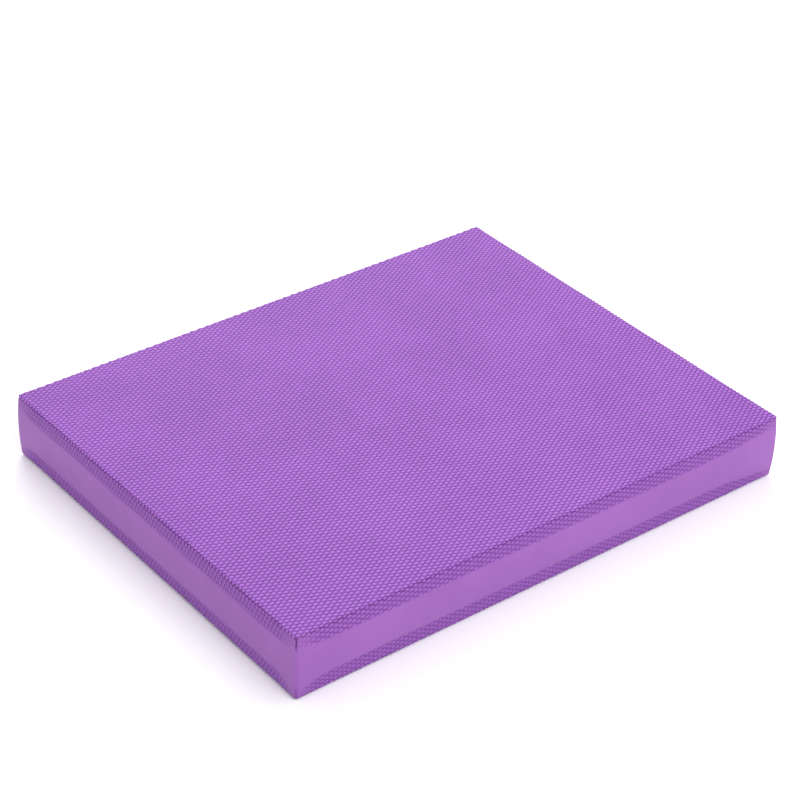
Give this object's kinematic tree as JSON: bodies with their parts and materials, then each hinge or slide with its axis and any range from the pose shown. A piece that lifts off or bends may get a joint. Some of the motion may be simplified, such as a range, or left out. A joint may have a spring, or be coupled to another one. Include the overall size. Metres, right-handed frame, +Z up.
{
  "type": "balance pad",
  "caption": "Rectangular foam balance pad with embossed faces, a smooth side band and a standing face that sinks under load.",
  "frame": {"origin": "centre of the underside, on the surface that the pad lies on", "axes": "+X along the length, +Y across the width, +Z up through the thickness"},
  "size_m": [0.5, 0.4, 0.06],
  "materials": {
    "embossed_skin": "satin, embossed with small staggered lozenges",
    "smooth_skin": "satin, smooth",
    "core_foam": "matt, fine closed cells"
  },
  "bodies": {
    "lower_pad": {"bottom_skin": "embossed_skin", "core_bottom_layer": "core_foam", "core_middle_layer": "core_foam", "side_band": "smooth_skin"},
    "upper_pad": {"core_top_layer": "core_foam", "top_skin": "embossed_skin"}
  },
  "joints": [
    {"name": "press", "type": "slide", "parent": "lower_pad", "child": "upper_pad", "axis": [0, 0, -1], "range_m": [0, 0.02], "stiffness_N_per_m": 45000, "deforming": ["core_bottom_layer", "core_middle_layer", "core_top_layer", "side_band"]}
  ]
}
